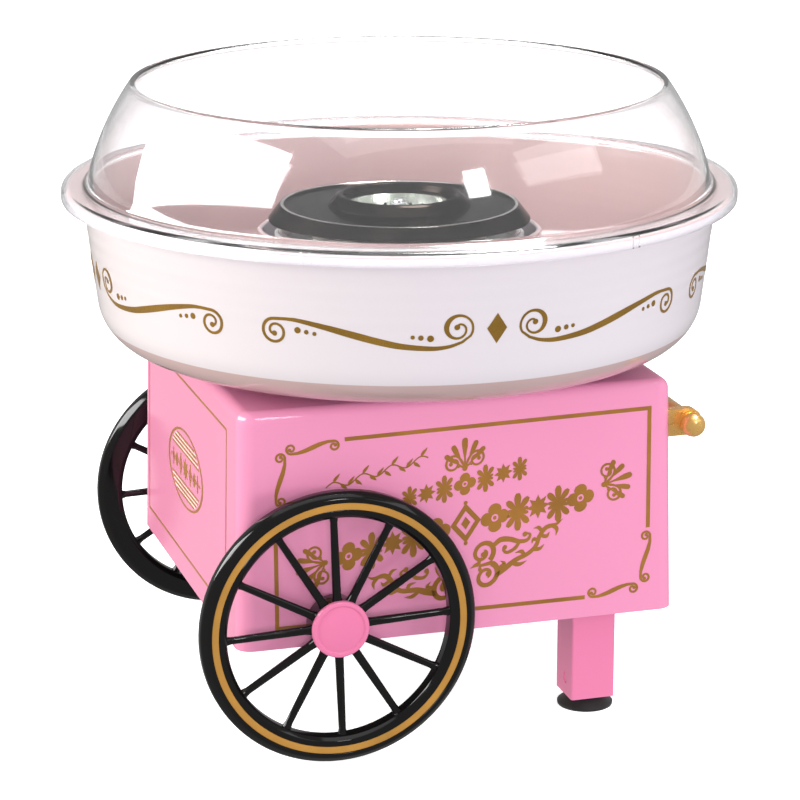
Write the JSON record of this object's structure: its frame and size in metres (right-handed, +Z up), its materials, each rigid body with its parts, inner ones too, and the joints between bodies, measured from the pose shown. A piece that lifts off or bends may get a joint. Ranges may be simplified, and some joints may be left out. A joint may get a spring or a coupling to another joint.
{
  "type": "cotton candy machine",
  "caption": "Table-top candy floss machine shaped as a cart, with a lift-off bowl, clear rim guard, spinning extractor head, wheels, legs and push handle.",
  "frame": {"origin": "on the table, under the axis of the round bowl and motor", "axes": "+Z up along the bowl's axis; +X towards the push handle and legs; -Y towards the front panel"},
  "size_m": [0.305, 0.305, 0.2782],
  "materials": {
    "body_pink": "glossy injection-moulded plastic",
    "leg_pink": "glossy injection-moulded plastic",
    "cap_pink": "glossy injection-moulded plastic",
    "base_black": "fine textured plastic",
    "bowl_white": "glossy injection-moulded plastic",
    "guard_clear": "clear glossy plastic",
    "wheel_black": "glossy injection-moulded plastic",
    "handle_gold": "gold metallised plastic",
    "screw_steel": "zinc-plated steel",
    "axle_steel": "ground steel rod",
    "foot_rubber": "soft black rubber",
    "gland_rubber": "soft black rubber",
    "tower_plastic": "heat-resistant plastic",
    "dish_aluminium": "spun aluminium",
    "cup_aluminium": "spun aluminium",
    "head_dark": "dark coated spun aluminium",
    "element_sheath": "oxidised steel sheath",
    "ceramic": "unglazed steatite",
    "fuse_metal": "plain",
    "motor_steel": "zinc-plated drawn steel",
    "bearing_bronze": "sintered bronze",
    "magnet_ferrite": "ferrite",
    "core_iron": "stacked laminations",
    "fan_plastic": "moulded plastic",
    "screen_metal": "perforated strip",
    "switch_black": "moulded plastic",
    "rocker_black": "moulded plastic",
    "contact_brass": "tinned brass",
    "block_plastic": "moulded nylon",
    "board": "phenolic board",
    "component": "moulded bodies",
    "sleeve_white": "glass-fibre sleeving",
    "wire_red": "insulated wire",
    "wire_black": "insulated wire"
  },
  "bodies": {
    "cart": {"cart_housing": "body_pink", "base_plate": "base_black", "base_screws": "screw_steel", "top_screws": "screw_steel", "handle_screws": "screw_steel", "front_leg": "leg_pink", "rear_leg": "leg_pink", "front_foot": "foot_rubber", "rear_foot": "foot_rubber", "axle": "axle_steel", "axle_push_nuts": "screw_steel", "axle_bushes": "wheel_black", "axle_washers": "screw_steel", "axle_carriers": "base_black", "front_handle_arm": "handle_gold", "rear_handle_arm": "handle_gold", "handle_bar": "handle_gold", "front_handle_ball": "handle_gold", "rear_handle_ball": "handle_gold", "heater_tower": "tower_plastic", "heater_dish": "dish_aluminium", "heating_element": "element_sheath", "element_supports": "ceramic", "thermal_fuse": "fuse_metal", "motor_can": "motor_steel", "motor_end_bell": "motor_steel", "motor_bearings": "bearing_bronze", "shelf_bush": "bearing_bronze", "motor_magnets": "magnet_ferrite", "motor_bracket": "motor_steel", "motor_isolators": "gland_rubber", "switch_body": "switch_black", "switch_pin": "switch_black", "switch_terminals": "contact_brass", "cord_gland": "gland_rubber", "terminal_block": "block_plastic", "terminal_screws": "contact_brass", "rectifier_board": "board", "rectifier_components": "component", "heater_leads": "sleeve_white", "motor_leads": "wire_red", "switch_leads": "wire_black"},
    "rotor": {"motor_shaft": "axle_steel", "motor_armature": "core_iron", "cooling_fan": "fan_plastic", "drive_pin": "screw_steel"},
    "extractor_head": {"head_dish": "head_dark", "head_ring": "head_dark", "head_cup": "cup_aluminium", "head_base": "cup_aluminium", "head_screen": "screen_metal", "head_hub": "cup_aluminium", "head_nut": "screw_steel"},
    "bowl": {"bowl": "bowl_white"},
    "rim_guard": {"rim_guard": "guard_clear"},
    "front_wheel": {"front_wheel": "wheel_black", "front_hubcap": "cap_pink"},
    "rear_wheel": {"rear_wheel": "wheel_black", "rear_hubcap": "cap_pink"},
    "switch_rocker": {"switch_rocker": "rocker_black"}
  },
  "joints": [
    {"name": "bowl_lift", "type": "slide", "parent": "cart", "child": "bowl", "axis": [0, 0, 1], "range_m": [0, 0.09]},
    {"name": "rim_guard_lift", "type": "slide", "parent": "bowl", "child": "rim_guard", "axis": [0, 0, 1], "range_m": [0, 0.08]},
    {"name": "rotor_spin", "type": "hinge", "parent": "cart", "child": "rotor", "pos_m": [0, 0, 0.2], "axis": [0, 0, 1], "continuous": true},
    {"name": "head_lift", "type": "slide", "parent": "rotor", "child": "extractor_head", "axis": [0, 0, 1], "range_m": [0, 0.06]},
    {"name": "front_wheel_spin", "type": "hinge", "parent": "cart", "child": "front_wheel", "pos_m": [-0.0602, -0.105, 0.0614], "axis": [0, 1, 0], "continuous": true},
    {"name": "rear_wheel_spin", "type": "hinge", "parent": "cart", "child": "rear_wheel", "pos_m": [-0.0602, 0.105, 0.0614], "axis": [0, 1, 0], "continuous": true},
    {"name": "switch_rocker_tilt", "type": "hinge", "parent": "cart", "child": "switch_rocker", "pos_m": [0.058, 0.09281, 0.076], "axis": [1, 0, 0], "range_deg": [0, 20]}
  ]
}
